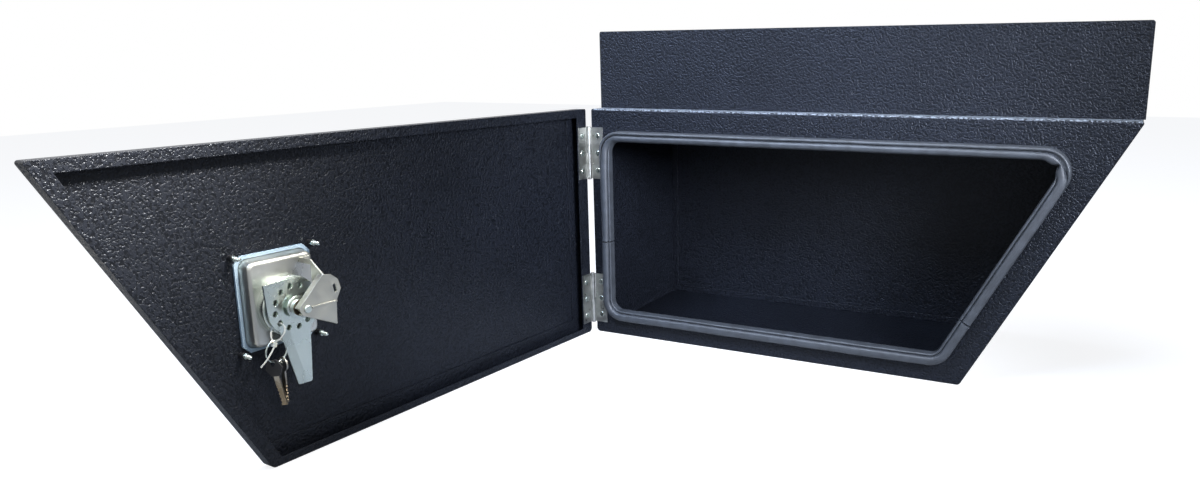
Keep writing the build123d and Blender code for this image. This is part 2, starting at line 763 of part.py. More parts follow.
with BuildPart() as key_plug:
    with BuildSketch(lock.offset(handle_pivot + handle_thick / 2)):
        with Locations((0, -key_plug_offset)):
            Circle(key_plug_radius)
    extrude(amount=-key_plug_depth)
    with BuildSketch(lock.offset(handle_pivot + handle_thick / 2)):
        with Locations((0, -key_plug_offset)):
            Rectangle(*key_slot)
    extrude(amount=-key_slot_depth, mode=Mode.SUBTRACT)
save(key_plug.part, "key_plug")

# ---------------------------------------------------------------- tie, ring and keys
tie_hole = Vector(ring_hole_circle, 0).rotate(Axis.Z, tie_hole_angle)
tie_along = Vector(1, 0).rotate(Axis.Z, tie_hang_angle)
tie_turned = Location((tie_hole.X, tie_hole.Y, 0), (0, 0, tie_hang_angle))
tie_plane = Plane(lock.location * tie_turned * Location((0, 0, 0), (90, 0, 0)))
ring_level = -cam_front - ring_stand
tie_back = -drum_height - cam_gap / 2
tie_front = -cam_front - tie_thick

with BuildSketch() as tie_line:
    Polygon(
        (0, tie_back),
        (tie_length / 2, tie_back),
        (tie_length, ring_level + tie_flat / 2),
        (tie_length, ring_level - tie_flat / 2),
        (tie_bulge_at, tie_front - tie_bulge),
        (0, tie_front),
        align=None,
    )
    fillet(tie_line.vertices(), tie_bend)

tie_head_middle = tie_hole + tie_along * (tie_length + tie_thick / 2 + tie_head[0] / 2)
with BuildPart() as cable_tie:
    with BuildSketch(tie_plane):
        offset(tie_line.sketch, amount=tie_thick / 2)
        offset(tie_line.sketch, amount=-tie_thick / 2, mode=Mode.SUBTRACT)
    extrude(amount=tie_width / 2, both=True)
    with BuildSketch(lock.offset(ring_level - tie_head_front)):
        with Locations(Location((tie_head_middle.X, tie_head_middle.Y, 0), (0, 0, tie_hang_angle))):
            Rectangle(tie_head[0], tie_head[1])
    extrude(amount=tie_head[2])
    with BuildSketch(lock.offset(ring_level - tie_head_front)):
        with Locations(Location((tie_head_middle.X, tie_head_middle.Y, 0), (0, 0, tie_tail_angle))):
            Rectangle(tie_tail_length, tie_width, align=(Align.MIN, Align.CENTER))
    extrude(amount=tie_thick)
save(cable_tie.part, "cable_tie")

ring_top_along = tie_length - tie_thick / 2 - key_ring_wire - key_ring_clearance
ring_top = tie_hole + tie_along * ring_top_along
ring_middle = ring_top - Vector(0, key_ring_radius)
with BuildPart() as key_ring:
    ring_place = Plane(lock.location * Location((ring_middle.X, ring_middle.Y, ring_level)))
    with BuildSketch(Plane(ring_place.location * Location((key_ring_radius, 0, 0), (90, 0, 0)))):
        Circle(key_ring_wire)
    revolve(axis=Axis(ring_place.origin, ring_place.z_dir))
save(key_ring.part, "key_ring")


def key_place(ring_angle, turn, lean):
    """The plane of a key on the ring, from the middle of its hole, turned about the hole and leant."""
    wire = ring_middle + Vector(key_ring_radius, 0).rotate(Axis.Z, ring_angle)
    drop = key_hole_radius - key_ring_wire - key_play
    return Plane(lock.location * Location((wire.X, wire.Y - drop, ring_level), (0, turn, lean)))


def key_blade(place, start):
    """A key's blade with its cuts, on the key's plane, from a start height down to the tip."""
    with BuildPart() as blade:
        with BuildSketch(place):
            with Locations((0, start)):
                Rectangle(blade_width, key_length + start, align=(Align.CENTER, Align.MAX))
            for cut in range(key_cuts):
                with Locations((blade_width / 2, key_cut_pitch * (cut + 1) - key_length)):
                    RegularPolygon(key_cut_depth + cut % 2 * key_cut_step, 4, mode=Mode.SUBTRACT)
        extrude(amount=key_thick / 2, both=True)
    return blade.part


plain_key_place = key_place(plain_key_angle, plain_key_turn, 0)
with BuildPart() as plain_key:
    with BuildSketch(plain_key_place):
        with Locations((0, -key_bow / 2)):
            Circle(key_bow)
        Circle(key_hole_radius, mode=Mode.SUBTRACT)
    extrude(amount=key_thick / 2, both=True)
    add(key_blade(plain_key_place, -key_bow))
save(plain_key.part, "plain_key")

headed_key_place = key_place(headed_key_angle, headed_key_turn, headed_key_lean)
with BuildPart() as key_head:
    with BuildSketch(headed_key_place):
        with Locations((0, -hex_bow / 2)):
            RegularPolygon(hex_bow, 6)
        Circle(key_hole_radius, mode=Mode.SUBTRACT)
    extrude(amount=key_head_thick / 2, both=True)
save(key_head.part, "key_head")

headed_key_start = -hex_bow / 2 - hex_bow * cos(radians(30))
save(key_blade(headed_key_place, headed_key_start), "headed_key_blade")
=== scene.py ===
"""Tapered under-tray toolbox: its finishes, loose parts and studio, built round its CAD frame."""

import json

import bmesh
import bpy
import numpy as np
from mathutils import Matrix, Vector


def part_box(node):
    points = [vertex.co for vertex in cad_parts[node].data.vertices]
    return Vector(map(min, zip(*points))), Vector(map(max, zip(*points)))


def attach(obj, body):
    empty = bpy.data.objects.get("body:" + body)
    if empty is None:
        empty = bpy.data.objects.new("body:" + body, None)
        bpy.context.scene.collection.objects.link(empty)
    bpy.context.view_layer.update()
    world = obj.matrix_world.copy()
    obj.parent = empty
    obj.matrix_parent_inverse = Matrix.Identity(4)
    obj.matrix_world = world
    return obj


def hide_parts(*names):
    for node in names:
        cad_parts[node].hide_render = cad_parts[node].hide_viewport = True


bl_info = {
    "name": "Tapered under-tray toolbox",
    "version": (1, 0, 0),
    "blender": (4, 5, 0),
    "location": "3D View > Sidebar > Toolbox",
    "description": "Adds the bulb seal, lock details, finishes and studio of an under-tray toolbox",
    "category": "Object",
}

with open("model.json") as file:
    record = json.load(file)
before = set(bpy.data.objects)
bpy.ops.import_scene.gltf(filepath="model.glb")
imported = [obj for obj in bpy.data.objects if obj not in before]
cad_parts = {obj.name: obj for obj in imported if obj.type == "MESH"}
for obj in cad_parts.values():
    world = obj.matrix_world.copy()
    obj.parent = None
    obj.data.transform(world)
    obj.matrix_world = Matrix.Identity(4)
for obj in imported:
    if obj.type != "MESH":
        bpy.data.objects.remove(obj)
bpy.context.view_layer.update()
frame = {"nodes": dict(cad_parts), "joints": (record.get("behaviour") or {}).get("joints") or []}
NODES = frame["nodes"]
JOINTS = {joint["name"]: joint for joint in frame["joints"]}

MM = 0.001
FULL_TURN = 2 * np.pi


def linear(hex_colour):
    """An sRGB hex colour as linear red, green, blue and an alpha of 1."""
    channels = np.array([int(hex_colour[i : i + 2], 16) for i in (1, 3, 5)]) / 255
    toned = np.where(channels <= 0.04045, channels / 12.92, ((channels + 0.055) / 1.055) ** 2.4)
    return (*toned.tolist(), 1.0)


def length_setting(name, description, default):
    """A size that a user can change, in metres."""
    return bpy.props.FloatProperty(
        name=name, description=description, default=default, min=0.0, precision=4, unit="LENGTH"
    )


def colour_setting(name, description, hex_colour):
    """A colour that a user can change."""
    return bpy.props.FloatVectorProperty(
        name=name,
        description=description,
        default=linear(hex_colour),
        size=4,
        min=0.0,
        max=1.0,
        subtype="COLOR",
    )


class ToolboxSizes(bpy.types.PropertyGroup):
    """Sizes of the pieces that are made here."""

    bottom_length: length_setting("Bottom length", "Front face along its bottom edge", 0.636)
    top_length: length_setting("Top length", "Front face along its top edge", 0.850)
    body_height: length_setting("Body height", "Height of the box without its upstand", 0.400)
    margin_hinge: length_setting("Hinge margin", "Hinge edge to the opening's lip", 0.035)
    margin_top: length_setting("Top margin", "Top edge to the opening's lip", 0.046)
    margin_slant: length_setting("Slanted margin", "Slanted edge to the opening's lip", 0.045)
    margin_bottom: length_setting("Bottom margin", "Bottom edge to the opening's lip", 0.041)
    opening_corner: length_setting("Opening corner", "Corner radius of the lip", 0.026)
    seam_hinge_height: length_setting("Hinge seam", "Seal joint beside the hinges", 0.172)
    seam_slant_height: length_setting("Slanted seam", "Seal joint on the slanted side", 0.105)
    stud_radius: length_setting("Stud radius", "Outside of a fixing stud's thread", 0.0025)
    thread_pitch: length_setting("Thread pitch", "Pitch of the fixing studs", 0.0008)
    nut_across: length_setting("Nut across flats", "Width of a fixing nut", 0.007)
    tie_width: length_setting("Tie width", "Width of the nylon tie", 0.0019)
    tie_thickness: length_setting("Tie thickness", "Thickness of the nylon tie", 0.0011)
    ring_radius: length_setting("Ring radius", "Middle of the split ring's wire", 0.0135)
    ring_wire: length_setting("Ring wire", "Half the thickness of the coiled ring", 0.0009)


class ToolboxColours(bpy.types.PropertyGroup):
    """Colours of the finishes."""

    powder: colour_setting("Powder coat", "Black wrinkle powder coat", "#111318")
    rubber: colour_setting("Seal rubber", "Dark grey EPDM", "#313438")
    stainless: colour_setting("Stainless steel", "Satin pressed steel", "#cacac4")
    zinc: colour_setting("Zinc plate", "Clear bright zinc plating", "#cbd4cd")
    die_cast: colour_setting("Bridge steel", "Dull plated steel", "#bcbbb1")
    nylon: colour_setting("Nylon", "Natural nylon", "#a6a8a2")
    plastic: colour_setting("Black plastic", "Moulded black plastic", "#131316")
    gasket: colour_setting("Gasket", "Pale blue-grey gasket", "#8a9dab")
    brass: colour_setting("Key brass", "Brass under worn nickel", "#756a59")
    nickel: colour_setting("Key nickel", "Nickel plating", "#a3a19a")


def sizes():
    """The sizes in use."""
    return bpy.context.scene.toolbox_sizes


def colours():
    """The colours in use."""
    return bpy.context.scene.toolbox_colours


# ---------------------------------------------------------------- places
LOCK = np.array(JOINTS["cam_turn"]["pos_m"])
LOCK_OUT = np.array(JOINTS["cam_turn"]["axis"])
LOCK_ACROSS = -np.array(JOINTS["handle_fold"]["axis"])
UP = np.array([0.0, 0.0, 1.0])


def lock_point(across, up, out):
    """Points given from the spindle: across the door, up it and out through its skin."""
    across, up, out = np.broadcast_arrays(across, up, out)
    return LOCK + across[..., None] * LOCK_ACROSS + up[..., None] * UP + out[..., None] * LOCK_OUT


# Depth of the front panel's folded return, behind its face.
FRONT_RETURN = 0.012


def front_point(along, up, out):
    """Points on the box's front: along from the hinge edge, up, and out from the face."""
    along, up, out = np.broadcast_arrays(along, up, out)
    hinge_edge = -sizes().bottom_length / 2
    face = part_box("front_panel")[1].y - FRONT_RETURN
    return np.stack([hinge_edge + along, face - out, up], axis=-1)


# ---------------------------------------------------------------- surfaces
def unit(vectors):
    """Vectors scaled to a length of 1."""
    return vectors / np.linalg.norm(vectors, axis=-1, keepdims=True)


def ramp(values, start, over):
    """Rise in a straight line from 0 at a start to 1, over a distance."""
    return np.clip((values - start) / over, 0, 1)


def smooth_step(share):
    """A share from 0 to 1, eased in and out by a cubic."""
    return share * share * (3 - 2 * share)


def bell(distance, width):
    """A Gaussian bell: 1 in its middle and 1/e at its width."""
    return np.exp(-((distance / width) ** 2))


def piece_from_grid(name, points, closed_along, closed_round, body, stands_for=(), uv=None):
    """A mesh from a grid of points: rows run along the piece and columns run round it.

    Neighbouring rows and columns are joined by quads.  A closed direction joins its last line to its
    first, and an open run that is closed round gets a flat cap at each end.
    """
    rows, columns = points.shape[:2]
    row = np.arange(rows if closed_along else rows - 1)
    column = np.arange(columns if closed_round else columns - 1)
    row, column = np.meshgrid(row, column, indexing="ij")
    next_row = (row + 1) % rows
    next_column = (column + 1) % columns
    quads = np.stack(
        [
            row * columns + column,
            next_row * columns + column,
            next_row * columns + next_column,
            row * columns + next_column,
        ],
        axis=-1,
    ).reshape(-1, 4)
    faces = quads.tolist()
    if closed_round and not closed_along:
        faces.append(np.arange(columns).tolist())
        faces.append((np.arange(columns)[::-1] + (rows - 1) * columns).tolist())
    mesh = bpy.data.meshes.new(name)
    mesh.from_pydata(points.reshape(-1, 3).tolist(), [], faces)
    if uv is not None:
        layer = mesh.uv_layers.new(name="along_and_round")
        corner = np.zeros(len(mesh.loops), dtype=np.int32)
        mesh.loops.foreach_get("vertex_index", corner)
        layer.data.foreach_set("uv", uv.reshape(-1, 2)[corner].astype(np.float32).ravel())
    return finished_piece(name, mesh, body, stands_for)


def finished_piece(name, mesh, body, stands_for):
    """Turn a mesh's faces outwards, smooth it and hang it on its body."""
    mesh.validate()
    work = bmesh.new()
    work.from_mesh(mesh)
    bmesh.ops.recalc_face_normals(work, faces=work.faces)
    work.to_mesh(mesh)
    work.free()
    mesh.shade_smooth()
    piece = bpy.data.objects.new(name, mesh)
    bpy.context.scene.collection.objects.link(piece)
    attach(piece, body)
    if stands_for:
        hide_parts(*stands_for)
    return piece


def joined(name, pieces):
    """Several pieces made into one."""
    with bpy.context.temp_override(active_object=pieces[0], selected_editable_objects=pieces):
        bpy.ops.object.join()
    pieces[0].name = name
    pieces[0].data.name = name
    return pieces[0]


def sharpened(piece, angle):
    """Keep edges crisp where two faces meet at more than an angle in degrees."""
    piece.data.set_sharp_from_angle(angle=np.radians(angle))
    return piece


def rounded_line(corners, radius, spacing):
    """A closed line round a polygon: straight sides joined by arcs that touch both sides.

    An arc's middle lies on its corner's bisector at radius / sin(half the corner's angle).  The line is
    then divided evenly by length.  Returns its points, its outward normals and its distances.
    """
    to_last = unit(np.roll(corners, 1, axis=0) - corners)
    to_next = unit(np.roll(corners, -1, axis=0) - corners)
    half = np.arccos((to_last * to_next).sum(axis=1)) / 2
    reach = (radius / np.tan(half))[:, None]
    middles = corners + unit(to_last + to_next) * (radius / np.sin(half))[:, None]
    start = corners + to_last * reach - middles
    end = corners + to_next * reach - middles
    start_angle = np.arctan2(start[:, 1], start[:, 0])
    sweep = np.arctan2(end[:, 1], end[:, 0]) - start_angle
    sweep = (sweep + np.pi) % FULL_TURN - np.pi
    share = np.linspace(0, 1, 33)
    angles = start_angle[:, None] + sweep[:, None] * share
    arcs = middles[:, None] + radius * np.stack([np.cos(angles), np.sin(angles)], axis=-1)
    line = arcs.reshape(-1, 2)
    line = np.vstack([line, line[:1]])
    steps = np.linalg.norm(np.diff(line, axis=0), axis=1)
    travelled = np.concatenate([[0], np.cumsum(steps)])
    count = int(travelled[-1] / spacing)
    distance = np.arange(count) * travelled[-1] / count
    points = np.stack([np.interp(distance, travelled, line[:, axis]) for axis in (0, 1)], axis=-1)
    along = unit(np.roll(points, -1, axis=0) - np.roll(points, 1, axis=0))
    outward = np.stack([along[:, 1], -along[:, 0]], axis=-1)
    return points, outward, distance


def catmull_rom(before, first, second, after, share):
    """The cubic from the first to the second of four neighbours, at shares of the way along it."""
    return 0.5 * (
        2 * first
        + (second - before) * share
        + (2 * before - 5 * first + 4 * second - after) * share**2
        + (3 * first - before - 3 * second + after) * share**3
    )


def smooth_loop(points, count):
    """A closed smooth line through points."""
    place = np.linspace(0, len(points), count, endpoint=False)
    span = place.astype(int)
    neighbours = (points[(span + shift) % len(points)] for shift in (-1, 0, 1, 2))
    return catmull_rom(*neighbours, (place - span)[:, None])


def smooth_run(points, count):
    """An open smooth line through points, whose ends carry straight on."""
    held = np.vstack([2 * points[0] - points[1], points, 2 * points[-1] - points[-2]])
    place = np.linspace(0, len(points) - 1 - 1e-9, count)
    span = place.astype(int)
    neighbours = (held[span + shift] for shift in range(4))
    return catmull_rom(*neighbours, (place - span)[:, None])


# ---------------------------------------------------------------- materials
def add_node(tree, kind, links=None, **settings):
    """Add a node with its settings, and link its inputs from other nodes' outputs.

    A setting that names an input sets that input's value, and any other one sets the node itself.
    """
    node = tree.nodes.new(kind)
    for key, value in settings.items():
        if hasattr(node, key):
            setattr(node, key, value)
        else:
            node.inputs[key.replace("_", " ")].default_value = value
    for key, source in (links or {}).items():
        tree.links.new(source, node.inputs[key])
    return node


def new_material(name):
    """An empty material, its node tree and its output node."""
    material = bpy.data.materials.new(name)
    material.use_nodes = True
    tree = material.node_tree
    tree.nodes.clear()
    output = tree.nodes.new("ShaderNodeOutputMaterial")
    return material, tree, output


def colour_steps(tree, factor, steps):
    """A colour ramp from (position, colour) steps."""
    ramp = add_node(tree, "ShaderNodeValToRGB", {"Fac": factor})
    elements = ramp.color_ramp.elements
    while len(elements) < len(steps):
        elements.new(1.0)
    for element, (position, colour) in zip(elements, steps):
        element.position = position
        element.color = colour
    return ramp.outputs["Color"]


def noise(tree, vector, cell, detail, **settings):
    """Noise with cells of one width, in the units of its vector."""
    return add_node(
        tree, "ShaderNodeTexNoise", {"Vector": vector}, Scale=1 / cell, Detail=detail, **settings
    ).outputs["Fac"]


def graded(tree, value, low, high, to_low=0.0, to_high=1.0, **settings):
    """A value carried from one range to another and held at its ends."""
    limits = {"From Min": low, "From Max": high, "To Min": to_low, "To Max": to_high}
    return add_node(
        tree, "ShaderNodeMapRange", {"Value": value}, **limits, **settings
    ).outputs["Result"]


def arithmetic(tree, operation, *values):
    """One operation on values, each a number or another node's output."""
    node = add_node(tree, "ShaderNodeMath", operation=operation)
    for socket, value in zip(node.inputs, values):
        if isinstance(value, bpy.types.NodeSocket):
            tree.links.new(value, socket)
        else:
            socket.default_value = value
    return node.outputs["Value"]


def shade(colour, factor):
    """A colour made lighter or darker."""
    return (*(min(1.0, channel * factor) for channel in colour[:3]), 1.0)


def powder_coat():
    """Black wrinkle powder coat, baked on steel sheet.

    It is a semi-gloss dielectric skin with a navy cast.  Its leathery pebbles are 2 to 3 mm across, and
    come from slightly coarser noise so that they show.  Lit areas break into glints and the rest
    stays deep black.  Its colour has painted shade in the pebbles' valleys and a painted highlight on
    their crests, varied by a broad random tone.  On the ledge in front of the upstand, the
    upward-facing crests carry a pale painted highlight.
    """
    material, tree, output = new_material("wrinkle_powder_coat")
    base = colours().powder[:]
    place = add_node(tree, "ShaderNodeTexCoord").outputs["Object"]
    pebbles = noise(tree, place, 3.3 * MM, 1.0, Roughness=0.5, Distortion=0.5)
    grain = noise(tree, place, 0.9 * MM, 1.0)
    drift = noise(tree, place, 180 * MM, 3.0)
    crests = graded(tree, pebbles, 0.34, 0.62, interpolation_type="SMOOTHSTEP")
    tone = arithmetic(tree, "MULTIPLY_ADD", drift, crests, 0.1)
    # Painted shade and highlight: the pebbles' valleys are darkened to half the base colour and their
    # crests lightened up to one and a half times, varied by the broad drift tone.
    tint = colour_steps(tree, tone, [(0.12, shade(base, 0.5)), (0.6, shade(base, 1.5))])
    normal = add_node(tree, "ShaderNodeNewGeometry").outputs["Normal"]
    upwards = add_node(tree, "ShaderNodeSeparateXYZ", {"Vector": normal}).outputs["Z"]
    where = add_node(tree, "ShaderNodeSeparateXYZ", {"Vector": place}).outputs
    # Painted highlight: upward-facing crests on the top ledge, between the front edge and the upstand,
    # are marked here to be turned pale.
    wear_and_ledge_highlight = arithmetic(tree, "MULTIPLY", upwards, crests)
    for value, operation, limit in (
        (where["Z"], "GREATER_THAN", sizes().body_height - 8 * MM),
        (where["Y"], "LESS_THAN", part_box("mounting_upstand")[0].y),
        (where["Y"], "GREATER_THAN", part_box("front_panel")[0].y),
    ):
        on_ledge = arithmetic(tree, operation, value, limit)
        wear_and_ledge_highlight = arithmetic(tree, "MULTIPLY", wear_and_ledge_highlight, on_ledge)
    painted_ledge_highlight = graded(tree, wear_and_ledge_highlight, 0.15, 0.95, 0.0, 0.75)
    # The painted highlight mixes the coat up to three quarters of the way to a pale grey-blue.
    skin = add_node(
        tree, "ShaderNodeMixRGB", {"Fac": painted_ledge_highlight, "Color1": tint}, Color2=linear("#a4abb2")
    ).outputs["Color"]
    gloss = graded(tree, grain, 0.3, 0.7, 0.3, 0.42)
    folded = add_node(tree, "ShaderNodeBevel", samples=4, Radius=1.2 * MM).outputs["Normal"]
    relief = add_node(
        tree,
        "ShaderNodeBump",
        {"Height": crests, "Normal": folded},
        Strength=1.0,
        Distance=0.4 * MM,
    ).outputs["Normal"]
    shader = add_node(
        tree,
        "ShaderNodeBsdfPrincipled",
        {"Base Color": skin, "Roughness": gloss, "Normal": relief},
        IOR=1.5,
        Specular_IOR_Level=0.28,
        Specular_Tint=linear("#dde3ee"),
    )
    tree.links.new(shader.outputs["BSDF"], output.inputs["Surface"])
    return material


def seal_rubber():
    """Extruded EPDM sponge seal, greyed by a little dust.

    Die lines run along it about 0.7 mm apart, and the skin has a soft broad sheen.
    """
    material, tree, output = new_material("extruded_epdm")
    base = colours().rubber[:]
    run = add_node(tree, "ShaderNodeUVMap", uv_map="along_and_round").outputs["UV"]
    stretched = add_node(
        tree, "ShaderNodeMapping", {"Vector": run}, Scale=(1 / (60 * MM), 1 / (0.7 * MM), 1.0)
    ).outputs["Vector"]
    lines = noise(tree, stretched, 1.0, 3.0)
    place = add_node(tree, "ShaderNodeTexCoord").outputs["Object"]
    dust = noise(tree, place, 14 * MM, 5.0)
    tint = colour_steps(tree, dust, [(0.35, shade(base, 0.8)), (0.68, shade(base, 1.25))])
    dull = graded(tree, lines, 0.3, 0.7, 0.42, 0.58)
    relief = add_node(
        tree, "ShaderNodeBump", {"Height": lines}, Strength=0.35, Distance=0.12 * MM
    ).outputs["Normal"]
    shader = add_node(
        tree,
        "ShaderNodeBsdfPrincipled",
        {"Base Color": tint, "Roughness": dull, "Normal": relief},
        IOR=1.52,
    )
    tree.links.new(shader.outputs["BSDF"], output.inputs["Surface"])
    return material


def plated_metal(name, base, roughness, cloud_mm, cloud, scratch, edge_mm):
    """Sheet or turned metal with a clouded tone, short handling scratches and eased edges.

    The cloud is the patchy tone that rolling or plating leaves, cloud_mm across.  Scratches are noise
    stretched twelve times along its length.
    """
    material, tree, output = new_material(name)
    place = add_node(tree, "ShaderNodeTexCoord").outputs["Object"]
    patches = noise(tree, place, cloud_mm * MM, 4.0)
    drawn = add_node(
        tree,
        "ShaderNodeMapping",
        {"Vector": place},
        Rotation=(0.3, 0.2, 0.5),
        Scale=(1 / (0.5 * MM), 1 / (0.5 * MM), 1 / (6 * MM)),
    ).outputs["Vector"]
    scratches = noise(tree, drawn, 1.0, 2.0)
    tint = colour_steps(
        tree, patches, [(0.3, shade(base, 1 - cloud)), (0.5, base), (0.72, shade(base, 1 + cloud))]
    )
    dull = graded(tree, patches, 0.3, 0.7, roughness * 0.8, roughness * 1.25)
    eased = add_node(tree, "ShaderNodeBevel", samples=4, Radius=edge_mm * MM).outputs["Normal"]
    relief = add_node(
        tree,
        "ShaderNodeBump",
        {"Height": scratches, "Normal": eased},
        Strength=scratch,
        Distance=0.03 * MM,
    ).outputs["Normal"]
    shader = add_node(
        tree,
        "ShaderNodeBsdfPrincipled",
        {"Base Color": tint, "Roughness": dull, "Normal": relief},
        Metallic=1.0,
    )
    tree.links.new(shader.outputs["BSDF"], output.inputs["Surface"])
    return material


def moulded(name, base, roughness, grain_mm, grain, through=0.0):
    """Moulded plastic or rubber with a fine even grain; through is how far light travels inside it."""
    material, tree, output = new_material(name)
    place = add_node(tree, "ShaderNodeTexCoord").outputs["Object"]
    bite = noise(tree, place, grain_mm * MM, 3.0)
    tint = colour_steps(tree, bite, [(0.3, shade(base, 0.86)), (0.7, shade(base, 1.14))])
    relief = add_node(
        tree, "ShaderNodeBump", {"Height": bite}, Strength=grain, Distance=0.08 * MM
    ).outputs["Normal"]
    shader = add_node(
        tree,
        "ShaderNodeBsdfPrincipled",
        {"Base Color": tint, "Normal": relief},
        Roughness=roughness,
        IOR=1.5,
    )
    shader.inputs["Subsurface Weight"].default_value = through
    shader.inputs["Subsurface Radius"].default_value = (1.5 * MM, 1.3 * MM, 1.1 * MM)
    tree.links.new(shader.outputs["BSDF"], output.inputs["Surface"])
    return material


def worn_key_metal():
    """Nickel-plated brass key stock, worn back to brass towards the cuts.

    Height sets the blend, from nickel at the bow to brass at the tip, broken up by 1.5 mm patches.
    """
    material, tree, output = new_material("worn_nickel_on_brass")
    place = add_node(tree, "ShaderNodeTexCoord").outputs["Object"]
    height = add_node(tree, "ShaderNodeSeparateXYZ", {"Vector": place}).outputs["Z"]
    low, high = (corner.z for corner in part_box("plain_key"))
    fade = graded(tree, height, high - 12 * MM, low + 18 * MM)
    patches = noise(tree, place, 1.5 * MM, 3.0)
    wear_and_ledge_highlight = arithmetic(tree, "MULTIPLY_ADD", fade, patches, 0.12)
    tint = colour_steps(tree, wear_and_ledge_highlight, [(0.2, colours().nickel[:]), (0.55, colours().brass[:])])
    relief = add_node(
        tree, "ShaderNodeBump", {"Height": patches}, Strength=0.3, Distance=0.05 * MM
    ).outputs["Normal"]
    shader = add_node(
        tree,
        "ShaderNodeBsdfPrincipled",
        {"Base Color": tint, "Normal": relief},
        Metallic=1.0,
        Roughness=0.34,
    )
    tree.links.new(shader.outputs["BSDF"], output.inputs["Surface"])
    return material


FINISHES = {}


def finish(name):
    """A finish by its name, made the first time that it is asked for."""
    makers = {
        "powder": powder_coat,
        "rubber": seal_rubber,
        "key": worn_key_metal,
        "stainless": lambda: plated_metal(
            "satin_pressed_stainless", colours().stainless[:], 0.33, 40, 0.06, 0.2, 0.4
        ),
        "zinc": lambda: plated_metal(
            "bright_zinc_plate", colours().zinc[:], 0.27, 30, 0.05, 0.15, 0.5
        ),
        "bridge": lambda: plated_metal(
            "dull_plated_bridge", colours().die_cast[:], 0.4, 14, 0.05, 0.25, 0.6
        ),
        "hinge": lambda: plated_metal(
            "rolled_stainless_hinge", shade(colours().stainless[:], 0.72), 0.34, 10, 0.12, 0.35, 0.3
        ),
        "bright": lambda: plated_metal(
            "bright_fixings", colours().zinc[:], 0.2, 4, 0.1, 0.2, 0.15
        ),
        "brass": lambda: plated_metal("brass_washer", colours().brass[:], 0.3, 5, 0.1, 0.2, 0.2),
        "nylon": lambda: moulded("natural_nylon", colours().nylon[:], 0.38, 1.2, 0.15, 0.3),
        "plastic": lambda: moulded("moulded_black_nylon", colours().plastic[:], 0.55, 0.6, 0.25),
        "gasket": lambda: moulded("sponge_gasket", colours().gasket[:], 0.62, 0.8, 0.5),
    }
    if name not in FINISHES:
        FINISHES[name] = makers[name]()
    return FINISHES[name]


def give(piece, name):
    """Put one finish on the whole of a piece."""
    piece.data.materials.clear()
    piece.data.materials.append(finish(name))
    return piece


# ---------------------------------------------------------------- operators
class TOOLBOX_OT_coat(bpy.types.Operator):
    """Give every carried-over sheet and fitting its finish."""

    bl_idname = "toolbox.coat"
    bl_label = "Finish the metalwork"

    def execute(self, context):
        coats = {
            "powder": "front_panel back_panel rear_lap_frame floor_panel slanted_end_panel "
            "top_panel hinge_end_panel mounting_upstand door_pan door_bottom_bar door_hinge_bar",
            "hinge": "upper_hinge_box_leaf lower_hinge_box_leaf upper_hinge_door_leaf "
            "lower_hinge_door_leaf upper_hinge_pin lower_hinge_pin",
            "bright": "box_leaf_rivets door_leaf_rivets stud_nuts lock_studs key_ring fold_pin",
            "stainless": "lock_dish handle_clevis t_handle",
            "zinc": "cam_plate lock_drum cam_hub spindle",
            "bridge": "bridge_bracket key_plug",
            "gasket": "lock_gasket",
            "plastic": "stud_sleeves key_head",
            "nylon": "cable_tie",
            "key": "plain_key headed_key_blade",
            "rubber": "upper_seal lower_seal",
        }
        for name, nodes in coats.items():
            for node in nodes.split():
                give(NODES[node], name)
        return {"FINISHED"}


